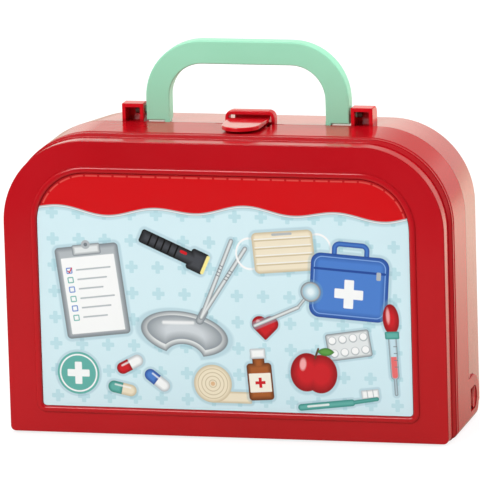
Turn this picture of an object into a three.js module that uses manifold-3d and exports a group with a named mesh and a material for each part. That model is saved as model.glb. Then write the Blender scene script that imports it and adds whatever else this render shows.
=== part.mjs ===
// Toy doctor case: two glossy moulded shells hinged along the bottom, a folding carrying handle
// and a latch tongue hooked behind a keeper arch, with a printed card in a bezel on the front.
// Millimetres, +Z up. X runs across the case and Y from the printed front to the back.
// The numbers along Y are depths behind the front face until the last step centres the case.

import * as THREE from 'three';
import { mergeVertices } from 'three/addons/utils/BufferGeometryUtils.js';
import Module from 'manifold-3d';

const wasm = await Module();
wasm.setup();

// Outline of the front face, and what stands out from it
const faceWidth = 260;
const faceTop = 174;
const faceCornerRadius = 49;
const faceFootRadius = 3;
const faceEdgeRound = 0.7;
const wallStep = 1.2;

// Depths of the two shells
const stripDepth = 10.5;
const tierDepth = 18.5;
const frontDepth = 52.85;
const partingGap = 0.3;
const caseDepth = 105;
const rearDraft = 5;
const rearEdgeRound = 3;

// Moulded walls
const wall = 2.5;
const faceWall = 2.9;

// The two low steps from the strip behind the face up to the wall
const tierShare = 0.5;
const tierRound = 0.5;

// Bezel round the card
const bezelSideMargin = 16.3;
const bezelFootMargin = 12;
const bezelTopMargin = 14.8;
const bezelWidth = 3.7;
const bezelHeight = 1.3;
const bezelRound = 1.3;
const bezelCrest = 0.6;
const bezelCornerRadius = 33.5;
const bezelFootRadius = 6;
const bezelSink = 2.4;
const panelRecess = 0.65;

// Printed card and the film of glue under it
const cardThickness = 0.5;
const cardGlue = 0.1;
const cardMargin = 0.35;

// Locating lip inside the front shell's rim
const lipReach = 2.4;
const lipThickness = 1.3;
const lipGap = 0.5;
const lipRoot = 5;
const lipFootGap = 5;

// Bottom hinge: ears on the front shell, stubs on the rear shell
const earRadius = 13.3;
const hingeSetback = 14;
const windowReach = 10;
const stubRadius = 6.3;
const stubGap = 0.5;
const stubSetback = 0.5;
const stubCoreRadius = 4;
const stubEndWall = 2;
const recessGap = 0.4;
const bandCornerRadius = 2;
const earEdgeRound = 0.6;

// Carrying handle
const handleShift = 3.2;
const handleWidth = 120.8;
const handleRise = 48;
const handleBar = 13.8;
const handleLeg = 14;
const handleThickness = 9;
const handleOuterRadius = 34;
const handleInnerRadius = 20;
const handleEdgeRound = 0.9;
const handleSetback = 6.25;
const pivotHeight = 5.8;
const legGap = 0.4;
const pinRadius = 2.1;
const pinLength = 7.1;
const pinGap = 0.25;
const tabWidth = 3;
const tabDrop = 1.6;
const tabDepth = 4.5;
const tabSlotGap = 0.3;
const tabSlotRun = 0.8;

// Brackets that carry the handle's pins
const bracketGap = 1.25;
const bracketWidth = 13;
const bracketDepth = 12.55;
const bracketHeight = 10.4;
const bracketWall = 2.2;
const bracketBackRadius = 5;
const bracketEdgeRound = 0.7;
const bracketSink = 2;

// Keeper arch over the latch
const latchShift = 5;
const archOpening = 25.3;
const archPost = 2.1;
const archHead = 2.5;
const archHeight = 7.5;
const archDepth = 6.45;
const archCornerRadius = 4.2;
const archHoleRadius = 1.6;
const archEdgeRound = 0.6;
const keeperNotchDepth = 10.85;

// Latch tongue
const tongueWidth = 21;
const tongueArm = 3.2;
const tongueNeck = 2;
const tongueLift = 1.4;
const neckDrop = 0.6;
const padRearWidth = 24;
const padFrontWidth = 22.4;
const padFrontRound = 10.5;
const padLength = 29;
const padThickness = 2.5;
const padEdgeRound = 0.5;
const catchGap = 0.4;
const catchRise = 1.7;
const catchTip = 1.2;
const catchDepth = 2.6;
const notchSideGap = 0.5;
const notchFrontGap = 1.9;
const latchSetback = 3.85;
const latchPivotDrop = 4.5;
const latchBarRadius = 1.6;
const latchBarGap = 0.2;
const latchBarEnd = 0.6;
const lugWall = 1;
const lugThickness = 3;
const lugSideGap = 1;
const rimSlitDepth = 1;
const rimSlitWidth = 41;

// Overrun of every cut past the faces it opens, and how closely facets follow an arc
const overrun = 5;
const facetSag = 0.03;
const roundSteps = 4;
const fewestSteps = 2;
const padRoundSteps = 16;

// Colours and finish
const shellRed = 0xc01a22;
const handleMint = 0x9fd3ba;
const cardBlue = 0xcfe7ee;
const glossRoughness = 0.22;
const satinRoughness = 0.42;
const cardRoughness = 0.35;

// Places worked out from the sizes
const caseHalf = faceWidth / 2 + wallStep;
const caseTop = faceTop + wallStep;
const rearFront = frontDepth + partingGap;
const wallInside = caseHalf - wall;
const hingeDepth = rearFront + hingeSetback - partingGap / 2;
const hingeHeight = earRadius;
const recessSide = wallInside - recessGap;
const recessRadius = earRadius + recessGap;
const pivotDepth = rearFront + handleSetback;
const pivotLevel = caseTop + pivotHeight;
const handleHalf = handleWidth / 2;
const legInside = handleHalf - handleLeg;
const handleTop = caseTop + handleRise;
const legFoot = caseTop + legGap;
const bracketInside = handleHalf + bracketGap;
const archHalf = archOpening / 2;
const archBack = rearFront + archDepth;
const archHole = caseTop + archHeight - archHead;
const latchDepth = frontDepth - latchSetback;
const latchLevel = caseTop - latchPivotDrop;
const padFoot = caseTop + tongueLift;
const notchHalf = archHalf + notchSideGap;
const notchFront = latchDepth - tongueArm / 2 - notchFrontGap;
const lugInside = notchHalf + lugSideGap;
const halfTurn = Math.PI;
const quarterTurn = halfTurn / 2;

// Faces wanted on an arc so that no facet strays from it by more than the sag
function arcSteps(radius, angle) {
  const step = 2 * Math.acos(1 - Math.min(facetSag / radius, 1 / 2));
  return Math.max(fewestSteps, Math.ceil(Math.abs(angle) / step));
}

// Points of an arc in a plane, both ends included
function arcPoints(centreX, centreY, radius, from, to) {
  const steps = arcSteps(radius, to - from);
  const points = [];
  for (let i = 0; i <= steps; i += 1) {
    const angle = from + (to - from) * i / steps;
    points.push(new THREE.Vector2(centreX + radius * Math.cos(angle), centreY + radius * Math.sin(angle)));
  }
  return points;
}

// Points of a straight-sided outline given corner by corner
function cornerPoints(corners) {
  return corners.map(([across, up]) => new THREE.Vector2(across, up));
}

// The arched outline of the case: two wide corners at the top and two small ones at the foot
function archedOutline(half, foot, top, cornerRadius, footRadius) {
  return [
    ...arcPoints(half - footRadius, foot + footRadius, footRadius, -quarterTurn, 0),
    ...arcPoints(half - cornerRadius, top - cornerRadius, cornerRadius, 0, quarterTurn),
    ...arcPoints(-half + cornerRadius, top - cornerRadius, cornerRadius, quarterTurn, halfTurn),
    ...arcPoints(-half + footRadius, foot + footRadius, footRadius, halfTurn, halfTurn + quarterTurn),
  ];
}

// The front face's outline moved outwards by a distance, or inwards where it is negative
function bodyOutline(growth) {
  return archedOutline(faceWidth / 2 + growth, wallStep - growth, faceTop + growth,
    faceCornerRadius + growth, Math.max(faceFootRadius + growth, facetSag));
}

// The bezel's outer outline moved inwards
function bezelOutline(inset) {
  const half = faceWidth / 2 - bezelSideMargin - inset;
  const foot = wallStep + bezelFootMargin + inset;
  const top = faceTop - bezelTopMargin - inset;
  const footRadius = Math.max(bezelFootRadius - inset, facetSag);
  return archedOutline(half, foot, top, bezelCornerRadius - inset, footRadius);
}

// Extrusion of a shape, its two edges rounded where a round is given
function extrude(shape, length, thicknessRound, edgeRound) {
  return new THREE.ExtrudeGeometry(shape, {
    depth: length - 2 * thicknessRound,
    steps: 1,
    curveSegments: roundSteps,
    bevelEnabled: thicknessRound > 0,
    bevelThickness: thicknessRound,
    bevelSize: edgeRound,
    bevelOffset: -edgeRound,
    bevelSegments: roundSteps,
  }).translate(0, 0, thicknessRound);
}

// Extrusion stood up so that its outline is seen from the front and its first face lies at a depth
function ontoDepth(geometry, back) {
  const turned = new THREE.Matrix4().makeBasis(
    new THREE.Vector3(1, 0, 0), new THREE.Vector3(0, 0, 1), new THREE.Vector3(0, -1, 0));
  return geometry.applyMatrix4(turned).translate(0, back, 0);
}

// Slab whose outline is seen from the front, between two depths
function slabAlongY(points, front, back, thicknessRound = 0, edgeRound = thicknessRound) {
  return ontoDepth(extrude(new THREE.Shape(points), back - front, thicknessRound, edgeRound), back);
}

// Slab whose outline is seen from the side, as depth and height, between two places across
function slabAlongX(points, low, high, thicknessRound = 0) {
  const turned = new THREE.Matrix4().makeBasis(
    new THREE.Vector3(0, 1, 0), new THREE.Vector3(0, 0, 1), new THREE.Vector3(1, 0, 0));
  return extrude(new THREE.Shape(points), high - low, thicknessRound, thicknessRound)
    .applyMatrix4(turned)
    .translate(low, 0, 0);
}

// Box between two corners
function boxBetween(low, high) {
  const size = high.map((value, i) => value - low[i]);
  return new THREE.BoxGeometry(...size)
    .translate(...low.map((value, i) => value + size[i] / 2));
}

// Round bar across the case
function barAlongX(low, high, depth, level, radius) {
  return new THREE.CylinderGeometry(radius, radius, high - low, arcSteps(radius, 2 * halfTurn))
    .rotateZ(quarterTurn)
    .translate((low + high) / 2, depth, level);
}

// Closed geometry as a solid that can be joined and cut
function solid(geometry) {
  const bare = geometry.clone();
  bare.deleteAttribute('normal');
  bare.deleteAttribute('uv');
  const merged = mergeVertices(bare);
  return new wasm.Manifold(new wasm.Mesh({
    numProp: 3,
    vertProperties: Float32Array.from(merged.attributes.position.array),
    triVerts: Uint32Array.from(merged.index.array),
  }));
}

// One solid from several pieces
function join(...pieces) {
  return pieces.reduce((whole, piece) => whole.add(piece));
}

// A solid less several tools
function cut(body, ...tools) {
  return tools.reduce((rest, tool) => rest.subtract(tool), body);
}

// The same piece on the left and on the right, about a middle line that may be shifted
function bothSides(make, shift = 0) {
  return [solid(make()).translate([shift, 0, 0]), mirrored(make()).translate([shift, 0, 0])];
}

// A piece mirrored across the middle plane
function mirrored(geometry) {
  return solid(geometry).mirror([1, 0, 0]);
}

// Solid back to a geometry with flat facets
function facets(body) {
  const mesh = body.getMesh();
  const geometry = new THREE.BufferGeometry();
  const positions = Float32Array.from(mesh.vertProperties);
  geometry.setAttribute('position', new THREE.BufferAttribute(positions, mesh.numProp));
  geometry.setIndex(new THREE.BufferAttribute(Uint32Array.from(mesh.triVerts), 1));
  const flat = geometry.toNonIndexed();
  flat.computeVertexNormals();
  return flat;
}

// Draft of the rear shell: side walls and roof close in towards the back, the floor stays level
function drafted(geometry) {
  const position = geometry.attributes.position;
  const length = caseDepth - rearFront;
  for (let i = 0; i < position.count; i += 1) {
    const share = (position.getY(i) - rearFront) / length;
    position.setX(i, position.getX(i) * (1 - share * rearDraft / caseHalf));
    position.setZ(i, position.getZ(i) * (1 - share * rearDraft / caseTop));
  }
  return geometry;
}

// One step of the wall: a slab whose front edge is rounded, sharp at the back where it is cut off
function wallTier(growth, front, back) {
  const slab = solid(slabAlongY(bodyOutline(growth), front, back + overrun, tierRound));
  const reach = caseHalf + overrun;
  const beyond = boxBetween([-reach, back, -overrun], [reach, back + 2 * overrun, caseTop + overrun]);
  return cut(slab, solid(beyond));
}

// Side view of the hinge ear: a flat tab that ends in a half-round lobe about the hinge axis
function earProfile() {
  const root = frontDepth - wall;
  return [
    ...cornerPoints([[root, hingeHeight + earRadius], [root, hingeHeight - earRadius]]),
    ...arcPoints(hingeDepth, hingeHeight, earRadius, -quarterTurn, quarterTurn),
  ];
}

// Side view of the ear's window: straight in front, round about the hinge axis behind
function windowProfile() {
  const radius = stubRadius + stubGap;
  const front = hingeDepth - windowReach;
  return [
    ...cornerPoints([[front, hingeHeight + radius], [front, hingeHeight - radius]]),
    ...arcPoints(hingeDepth, hingeHeight, radius, -quarterTurn, quarterTurn),
  ];
}

// The two ears, trimmed at the foot like the wall that they continue
function ears() {
  const plates = join(...bothSides(() => slabAlongX(earProfile(), wallInside, caseHalf, earEdgeRound)));
  const back = hingeDepth + earRadius + overrun;
  const trim = solid(slabAlongY(bodyOutline(wallStep), frontDepth - 2 * wall, back));
  const windows = bothSides(() => slabAlongX(windowProfile(), wallInside - wall, caseHalf + overrun));
  return cut(plates.intersect(trim), ...windows);
}

// Raised bezel round the card, both its edges rounded off
function bezel() {
  const ring = new THREE.Shape(bezelOutline(0));
  ring.holes.push(new THREE.Path(bezelOutline(bezelWidth)));
  const geometry = extrude(ring, bezelHeight + bezelSink, bezelRound, (bezelWidth - bezelCrest) / 2);
  return solid(ontoDepth(geometry, bezelSink));
}

// Lip inside the front shell's rim that the rear shell slips over, left out round the hinge and the latch
function locatingLip() {
  const rim = wallStep - wall;
  const root = frontDepth - lipRoot;
  const front = root - overrun;
  const back = frontDepth + lipReach + overrun;
  const inside = slabAlongY(bodyOutline(rim - lipGap - lipThickness), front, back);
  const lip = cut(join(
    solid(slabAlongY(bodyOutline(rim + lipGap), root, frontDepth - lipGap)),
    solid(slabAlongY(bodyOutline(rim - lipGap), root, frontDepth + lipReach)),
  ), solid(inside));
  const hingeTop = hingeHeight + recessRadius + bandCornerRadius + lipFootGap;
  const hingeRoom = boxBetween([-caseHalf, front, -overrun], [caseHalf, back, hingeTop]);
  const latchHalf = rimSlitWidth / 2 + lugSideGap;
  const latchRoom = boxBetween([latchShift - latchHalf, front, caseTop / 2],
    [latchShift + latchHalf, back, caseTop]);
  return cut(lip, solid(hingeRoom), solid(latchRoom));
}

// Lug under the roof that carries one end of the latch's bar
function latchLug() {
  const radius = latchBarRadius + latchBarGap + lugWall;
  const root = caseTop - wall / 2;
  const profile = [
    ...cornerPoints([[latchDepth + radius, root], [latchDepth - radius, root]]),
    ...arcPoints(latchDepth, latchLevel, radius, halfTurn, 2 * halfTurn),
  ];
  return slabAlongX(profile, lugInside, lugInside + lugThickness);
}

// Openings in the front shell's roof at the rim: the tongue's notch and a shallow slit wider than it
function latchNotch() {
  const low = caseTop - wall - overrun;
  const notch = boxBetween([latchShift - notchHalf, notchFront, low],
    [latchShift + notchHalf, frontDepth + overrun, caseTop + overrun]);
  const slit = boxBetween([latchShift - rimSlitWidth / 2, frontDepth - rimSlitDepth, low],
    [latchShift + rimSlitWidth / 2, frontDepth + overrun, caseTop + overrun]);
  return join(solid(notch), solid(slit));
}

// Front shell: arched tray with a plain strip, two low steps, bezel, hinge ears and latch lugs
function frontShell() {
  const step = tierDepth + wall;
  const outer = join(
    solid(slabAlongY(bodyOutline(0), 0, step, faceEdgeRound)),
    wallTier(wallStep * tierShare, stripDepth, step),
    wallTier(wallStep, tierDepth, frontDepth),
  );
  const hollow = join(
    solid(slabAlongY(bodyOutline(-wall), faceWall, step + overrun)),
    solid(slabAlongY(bodyOutline(wallStep - wall), step, frontDepth + overrun)),
  );
  const panel = solid(slabAlongY(bezelOutline(bezelWidth / 2), -overrun, panelRecess));
  const lugs = bothSides(latchLug, latchShift);
  const tray = join(cut(outer, hollow, panel), bezel(), ears(), locatingLip(), ...lugs);
  const boreReach = lugInside + lugThickness + overrun;
  const bore = barAlongX(latchShift - boreReach, latchShift + boreReach,
    latchDepth, latchLevel, latchBarRadius + latchBarGap);
  return cut(tray, latchNotch(), solid(bore));
}

// Side view of the room that the rear shell leaves for the ear at every angle of the hinge
function recessProfile(growth) {
  const radius = recessRadius + growth;
  const top = hingeHeight + radius;
  const corner = bandCornerRadius;
  return [
    ...cornerPoints([[rearFront - overrun, -overrun], [hingeDepth + radius, -overrun]]),
    ...arcPoints(hingeDepth, hingeHeight, radius, 0, quarterTurn),
    ...arcPoints(rearFront + corner, top + corner, corner, -quarterTurn, -halfTurn),
    ...cornerPoints([[rearFront - overrun, top + corner]]),
  ];
}

// Side view of what is cleared away in front of the hinge below its axis, so that the shell can roll open
function rollProfile() {
  const front = rearFront - overrun;
  return [
    ...cornerPoints([[front, hingeHeight], [front, -overrun], [hingeDepth, -overrun]]),
    ...arcPoints(hingeDepth, hingeHeight, earRadius, -quarterTurn, -halfTurn),
  ];
}

// Side view of the floor's rolled front edge, an arc about the hinge axis
function rollLipProfile() {
  return [
    ...arcPoints(hingeDepth, hingeHeight, earRadius, -quarterTurn, -halfTurn),
    ...arcPoints(hingeDepth, hingeHeight, earRadius - wall, -halfTurn, -quarterTurn),
  ];
}

// Hinge stub that sits in the ear's window, cored out from inside
function hingeStub() {
  return barAlongX(recessSide - wall / 2, caseHalf - stubSetback, hingeDepth, hingeHeight, stubRadius);
}

// Core of the hinge stub, which leaves its outer end closed
function stubCore() {
  return barAlongX(recessSide - wall - overrun, caseHalf - stubSetback - stubEndWall,
    hingeDepth, hingeHeight, stubCoreRadius);
}

// Side view of a handle bracket or of its hollow
function bracketProfile(front, foot, inset) {
  const back = rearFront + bracketDepth - inset;
  const top = caseTop + bracketHeight - inset;
  const radius = bracketBackRadius - inset;
  return [
    ...cornerPoints([[front, foot], [back, foot]]),
    ...arcPoints(back - radius, top - radius, radius, 0, quarterTurn),
    ...cornerPoints([[front, top]]),
  ];
}

// Bracket for one of the handle's pins: a hood open at the front, bored on the side of the leg
function handleBracket(mirror) {
  const foot = caseTop - bracketSink;
  const outside = bracketInside + bracketWidth;
  const hood = cut(
    solid(slabAlongX(bracketProfile(rearFront, foot, 0), bracketInside, outside, bracketEdgeRound)),
    solid(slabAlongX(bracketProfile(rearFront - overrun, foot - overrun, bracketWall),
      bracketInside + bracketWall, outside - bracketWall)),
    solid(barAlongX(bracketInside - overrun, bracketInside + bracketWidth / 2,
      pivotDepth, pivotLevel, pinRadius + pinGap)),
  );
  return (mirror ? hood.mirror([1, 0, 0]) : hood).translate([handleShift, 0, 0]);
}

// Keeper arch that the latch tongue hooks behind
function keeperArch() {
  const foot = caseTop - bracketSink;
  const outside = archHalf + archPost;
  const top = caseTop + archHeight;
  const radius = archCornerRadius;
  const inner = archHoleRadius;
  const outline = [
    ...cornerPoints([[-outside, foot], [-archHalf, foot]]),
    ...arcPoints(inner - archHalf, archHole - inner, inner, halfTurn, quarterTurn),
    ...arcPoints(archHalf - inner, archHole - inner, inner, quarterTurn, 0),
    ...cornerPoints([[archHalf, foot], [outside, foot]]),
    ...arcPoints(outside - radius, top - radius, radius, 0, quarterTurn),
    ...arcPoints(radius - outside, top - radius, radius, quarterTurn, halfTurn),
  ];
  return solid(slabAlongY(outline, rearFront, archBack, archEdgeRound)).translate([latchShift, 0, 0]);
}

// Openings in the rear shell's roof at the rim: one under the arch and one for each of the handle's stops
function roofNotches() {
  const low = caseTop - rearDraft - wall - overrun;
  const high = caseTop + overrun;
  const keeper = boxBetween([latchShift - archHalf, rearFront - overrun, low],
    [latchShift + archHalf, rearFront + keeperNotchDepth, high]);
  const slotBack = pivotDepth - handleThickness / 2 + tabDepth + tabSlotRun;
  const slot = () => boxBetween([legInside - tabSlotGap, rearFront - overrun, low],
    [legInside + tabWidth + tabSlotGap, slotBack, high]);
  return join(solid(keeper), ...bothSides(slot, handleShift));
}

// Rear shell: drafted tray with the hinge stubs, the handle brackets and the keeper arch moulded on
function rearShell() {
  const buried = rearFront - rearEdgeRound - overrun;
  const outer = cut(
    solid(drafted(slabAlongY(bodyOutline(wallStep), buried, caseDepth, rearEdgeRound))),
    solid(boxBetween([-caseHalf - overrun, buried - overrun, -overrun],
      [caseHalf + overrun, rearFront, caseTop + overrun])),
  );
  const hollow = solid(drafted(slabAlongY(bodyOutline(wallStep - wall), buried, caseDepth - wall)));
  const recessBacks = bothSides(() => slabAlongX(recessProfile(wall), recessSide - wall, caseHalf));
  const recesses = bothSides(() => slabAlongX(recessProfile(0), recessSide, caseHalf + overrun));
  const reach = caseHalf + overrun;
  const tray = cut(
    join(cut(outer, hollow), ...recessBacks.map((back) => back.intersect(outer))),
    ...recesses,
    solid(slabAlongX(rollProfile(), -reach, reach)),
    roofNotches(),
  );
  const rollLip = solid(slabAlongX(rollLipProfile(), -recessSide, recessSide));
  const brackets = [handleBracket(false), handleBracket(true)];
  const whole = join(tray, rollLip, ...bothSides(hingeStub), keeperArch(), ...brackets);
  return cut(whole, ...bothSides(stubCore));
}

// The handle's arched outline: two straight legs and a bar with wide corners
function handleOutline() {
  const innerTop = handleTop - handleBar;
  const outerRadius = handleOuterRadius;
  const innerRadius = handleInnerRadius;
  return [
    ...cornerPoints([[handleHalf, legFoot]]),
    ...arcPoints(handleHalf - outerRadius, handleTop - outerRadius, outerRadius, 0, quarterTurn),
    ...arcPoints(outerRadius - handleHalf, handleTop - outerRadius, outerRadius, quarterTurn, halfTurn),
    ...cornerPoints([[-handleHalf, legFoot], [-legInside, legFoot]]),
    ...arcPoints(innerRadius - legInside, innerTop - innerRadius, innerRadius, halfTurn, quarterTurn),
    ...arcPoints(legInside - innerRadius, innerTop - innerRadius, innerRadius, quarterTurn, 0),
    ...cornerPoints([[legInside, legFoot]]),
  ];
}

// Stop tab below the inner edge of a leg
function handleTab() {
  const front = pivotDepth - handleThickness / 2;
  return boxBetween([legInside, front, legFoot - tabDrop],
    [legInside + tabWidth, front + tabDepth, legFoot + tabDrop]);
}

// Pin on the outside of a leg
function handlePin() {
  return barAlongX(handleHalf - handleEdgeRound - pinRadius, handleHalf + pinLength,
    pivotDepth, pivotLevel, pinRadius);
}

// Handle: the legs' rear lower corners are round about the pins, so it folds back but never forwards
function carryingHandle() {
  const front = pivotDepth - handleThickness / 2;
  const back = pivotDepth + handleThickness / 2;
  const bow = solid(slabAlongY(handleOutline(), front, back, handleEdgeRound));
  const heelRadius = pivotLevel - legFoot;
  const low = legFoot - overrun;
  const heel = [
    ...cornerPoints([[back + overrun, pivotLevel], [back + overrun, low], [pivotDepth, low]]),
    ...arcPoints(pivotDepth, pivotLevel, heelRadius, -quarterTurn, 0),
  ];
  const trimmed = cut(bow, solid(slabAlongX(heel, -handleHalf - overrun, handleHalf + overrun)));
  return join(trimmed, ...bothSides(handleTab), ...bothSides(handlePin)).translate([handleShift, 0, 0]);
}

// Finger pad of the latch: a level plate, slightly tapered, that ends in half an ellipse in front
function latchPad() {
  const shape = new THREE.Shape();
  const rearHalf = padRearWidth / 2;
  const frontHalf = padFrontWidth / 2;
  shape.moveTo(rearHalf, 0);
  shape.lineTo(-rearHalf, 0);
  shape.lineTo(-frontHalf, padFrontRound - padLength);
  shape.absellipse(0, padFrontRound - padLength, frontHalf, padFrontRound, halfTurn, 2 * halfTurn);
  const corners = shape.extractPoints(padRoundSteps).shape;
  return extrude(new THREE.Shape(corners), padThickness, padEdgeRound, padEdgeRound)
    .translate(0, latchDepth + tongueArm / 2, padFoot);
}

// Side view of the latch's arm, neck and catch
function latchHookProfile() {
  const front = latchDepth - tongueArm / 2;
  const back = latchDepth + tongueArm / 2;
  const neckFoot = caseTop - neckDrop;
  const neckTop = neckFoot + tongueNeck;
  const armTop = padFoot + padThickness - padEdgeRound;
  const catchFront = archBack + catchGap;
  const catchTop = archHole + catchRise;
  return cornerPoints([
    [front, latchLevel], [back, latchLevel], [back, neckFoot], [catchFront + catchDepth, neckFoot],
    [catchFront + catchTip, catchTop], [catchFront, catchTop], [catchFront, neckTop],
    [back, neckTop], [back, armTop], [front, armTop],
  ]);
}

// Latch tongue: pad, arm, neck, catch and the bar that it turns on, all in one moulding
function latchTongue() {
  const half = tongueWidth / 2;
  const barEnd = lugInside + lugThickness + latchBarEnd;
  return join(
    solid(latchPad()),
    solid(slabAlongX(latchHookProfile(), -half, half)),
    solid(barAlongX(-barEnd, barEnd, latchDepth, latchLevel, latchBarRadius)),
  ).translate([latchShift, 0, 0]);
}

// Printed card, glued into the recess inside the bezel
function labelCard() {
  const back = panelRecess - cardGlue;
  return solid(slabAlongY(bezelOutline(bezelWidth + cardMargin), back - cardThickness, back));
}

// Glossy moulded plastic of the shells and the latch
function shellPlastic() {
  return new THREE.MeshStandardMaterial({ color: shellRed, roughness: glossRoughness, metalness: 0 });
}

// Satin plastic of the handle
function handlePlastic() {
  return new THREE.MeshStandardMaterial({ color: handleMint, roughness: satinRoughness, metalness: 0 });
}

// Laminated paper of the card
function cardPaper() {
  return new THREE.MeshStandardMaterial({ color: cardBlue, roughness: cardRoughness, metalness: 0 });
}

// A finished piece as a named mesh
function piece(name, body, material) {
  const mesh = new THREE.Mesh(facets(body), material);
  mesh.name = name;
  return mesh;
}

// The case stands on its flat underside, with its middle over the origin
const doctorCase = new THREE.Group();
doctorCase.name = 'doctor_case';
doctorCase.add(
  piece('front_shell', frontShell(), shellPlastic()),
  piece('rear_shell', rearShell(), shellPlastic()),
  piece('handle', carryingHandle(), handlePlastic()),
  piece('latch_tongue', latchTongue(), shellPlastic()),
  piece('label_card', labelCard(), cardPaper()),
);
doctorCase.position.set(0, (bezelHeight - caseDepth) / 2, 0);

export default doctorCase;
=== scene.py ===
"""Looks of the toy doctor case: moulded plastic, the printed card and a plain studio round them.

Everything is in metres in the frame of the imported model. The card's print is worked out in millimetres
on the card's own face, u across and v up, as signed distances to its shapes.
"""
import math

import bpy
import numpy as np
from mathutils import Matrix, Vector


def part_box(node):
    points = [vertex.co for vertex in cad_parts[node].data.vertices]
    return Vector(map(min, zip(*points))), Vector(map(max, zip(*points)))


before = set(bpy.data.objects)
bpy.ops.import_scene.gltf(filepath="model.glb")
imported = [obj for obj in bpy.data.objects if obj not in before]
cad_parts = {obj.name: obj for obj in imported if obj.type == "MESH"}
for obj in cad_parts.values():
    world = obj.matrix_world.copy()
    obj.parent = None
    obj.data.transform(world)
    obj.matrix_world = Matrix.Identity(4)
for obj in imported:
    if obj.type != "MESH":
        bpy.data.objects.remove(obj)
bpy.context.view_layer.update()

bl_info = {
    "name": "Toy doctor case",
    "version": (1, 0, 0),
    "blender": (4, 5, 0),
    "location": "View3D > Sidebar > Doctor case",
    "description": "Dresses the moulded toy doctor case and sets up its studio",
    "category": "Object",
}

MILLI = 0.001

# Front shell's outer wall, in millimetres: how far the bezel stands before the face, the depths behind
# the face at which the rounded edge, the plain strip, the first rise and the second rise end, the flat
# between the two rises, and how steep both look
BEZEL_HEIGHT = 1.3
EDGE_END = 1.5
STRIP_END = 10.5
TIER_END = 18.5
BAND_END = 23.0
TIER_FLAT = 1.5
BAND_SLOPE = 0.7

# Hinge stubs, in millimetres: the axis behind the middle and above the floor, their radius, the depth of
# their dished ends, and how far in from the case's side these ends can lie
STUB_PLACE = (15.15, 13.3)
STUB_RADIUS = 6.3
STUB_DISH = 3.0
STUB_INSET = 3.0

# Where a colour starts and where it is full, in millimetres: the painted light, a brighter red above the
# front shell's roof, and the painted shade on the pin ends inwards from the handle's two sides
PAINTED_LIGHT_RISE = (0.5, 2.0)
PIN_SHADE_INSET = (3.2, 2.6)

PLASTIC_IOR = 1.49
FILM_IOR = 1.5

# Modifiers on a CAD node: what counts as one point, in metres, as flat and as an edge to round
WELD_DISTANCE = 0.000002
FLAT_ANGLE = math.radians(0.2)
EDGE_ANGLE = math.radians(35.0)
EDGE_SEGMENTS = 2
NORMAL_WEIGHT = 60
# Edge round of the latch as a share of the shells'
LATCH_ROUND = 0.8

# The photograph's camera: its frame and focal length in pixels, the sensor's width in millimetres, the
# direction from which it looks, in degrees, its distance and the point that it looks at, in metres
PHOTO_PIXELS = 480.0
FOCAL_PIXELS = 6916.27
SENSOR_WIDTH = 36.0
AZIMUTH, ELEVATION, ROLL = 14.31, 12.52, -1.69
CAMERA_DISTANCE = 4.00032
CAMERA_AIM = (0.00041, -0.01185, 0.10906)

# Soft lights, whose power is a setting of the stage: name, place, size, and whether reflections show it
LAMPS = (
    ("key", (-0.9, -1.9, 1.5), 1.2, True),
    ("side", (2.1, 1.0, 1.0), 1.2, False),
    ("top", (0.2, 0.3, 2.0), 1.6, False),
    ("back", (-0.6, 2.1, 1.4), 1.2, False),
)
LAMP_AIM = (0.0, 0.0, 0.1)


def linear(red, green, blue):
    """A screen colour given from 0 to 255 as scene-linear values."""
    values = np.array([red, green, blue], float) / 255.0
    low = values / 12.92
    high = ((values + 0.055) / 1.055) ** 2.4
    return tuple(float(x) for x in np.where(values <= 0.04045, low, high))


# Painted light: a brighter red on the thin mouldings above the roof, that is the brackets, arch and tongue
PAINTED_LIGHT_RED = linear(215, 17, 32)
# Painted shade: a dark end of a handle pin inside its bracket, where little light reaches
PIN_SHADE = linear(66, 58, 44)

# Inks of the card
WHITE = linear(246, 247, 246)
PALE = linear(226, 230, 230)
SILVER = linear(178, 184, 188)
STEEL = linear(118, 126, 132)
DISH_EDGE = linear(140, 148, 154)
DISH_FLOOR = linear(206, 212, 216)
GRAPHITE = linear(70, 72, 78)
BLACK = linear(18, 18, 20)
RED = linear(206, 22, 34)
DEEP_RED = linear(142, 8, 20)
# Painted shade: darker red along the card's edge, where the bezel's recess lies
BEZEL_SHADE_RED = linear(184, 10, 20)
DASH_RED = linear(222, 76, 70)
CORDIAL = linear(232, 110, 110)
PINK_SHINE = linear(255, 190, 190)
HEART_SHINE = linear(255, 196, 196)
BLUE = linear(74, 126, 204)
DEEP_BLUE = linear(38, 74, 152)
STITCH_BLUE = linear(126, 166, 224)
TEAL = linear(98, 176, 166)
DEEP_TEAL = linear(52, 136, 128)
CREAM = linear(238, 226, 200)
DEEP_CREAM = linear(204, 186, 150)
PAPER = linear(244, 238, 222)
TAN = linear(222, 182, 138)
BARK = linear(96, 62, 36)
BROWN_GLASS = linear(168, 92, 42)
DEEP_BROWN_GLASS = linear(92, 44, 18)
GREEN = linear(96, 158, 70)
DEEP_GREEN = linear(60, 118, 48)
LAMP_YELLOW = linear(250, 236, 150)
GLASS = linear(196, 222, 232)
MIRROR = linear(228, 242, 246)
MIRROR_EDGE = linear(150, 190, 206)
FIELD_CLOUD = linear(203, 231, 239)
FIELD_CROSS = linear(176, 216, 224)
FIELD_SHADOW = linear(120, 165, 182)
WAVE_SHADOW = linear(150, 190, 200)

# Studio: the floor under plain light and as rough surfaces see it, and what glossy surfaces see
FLOOR_LIT = linear(244, 244, 242)
FLOOR_DULL = linear(212, 212, 211)
FLOOR_WHITE = (1.0, 1.0, 0.8)
ROOM_WHITE = (1.0, 1.0, 0.89)
PURE_WHITE = (1.0, 1.0, 1.0)


# Sizes and colours that a user would change


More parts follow.
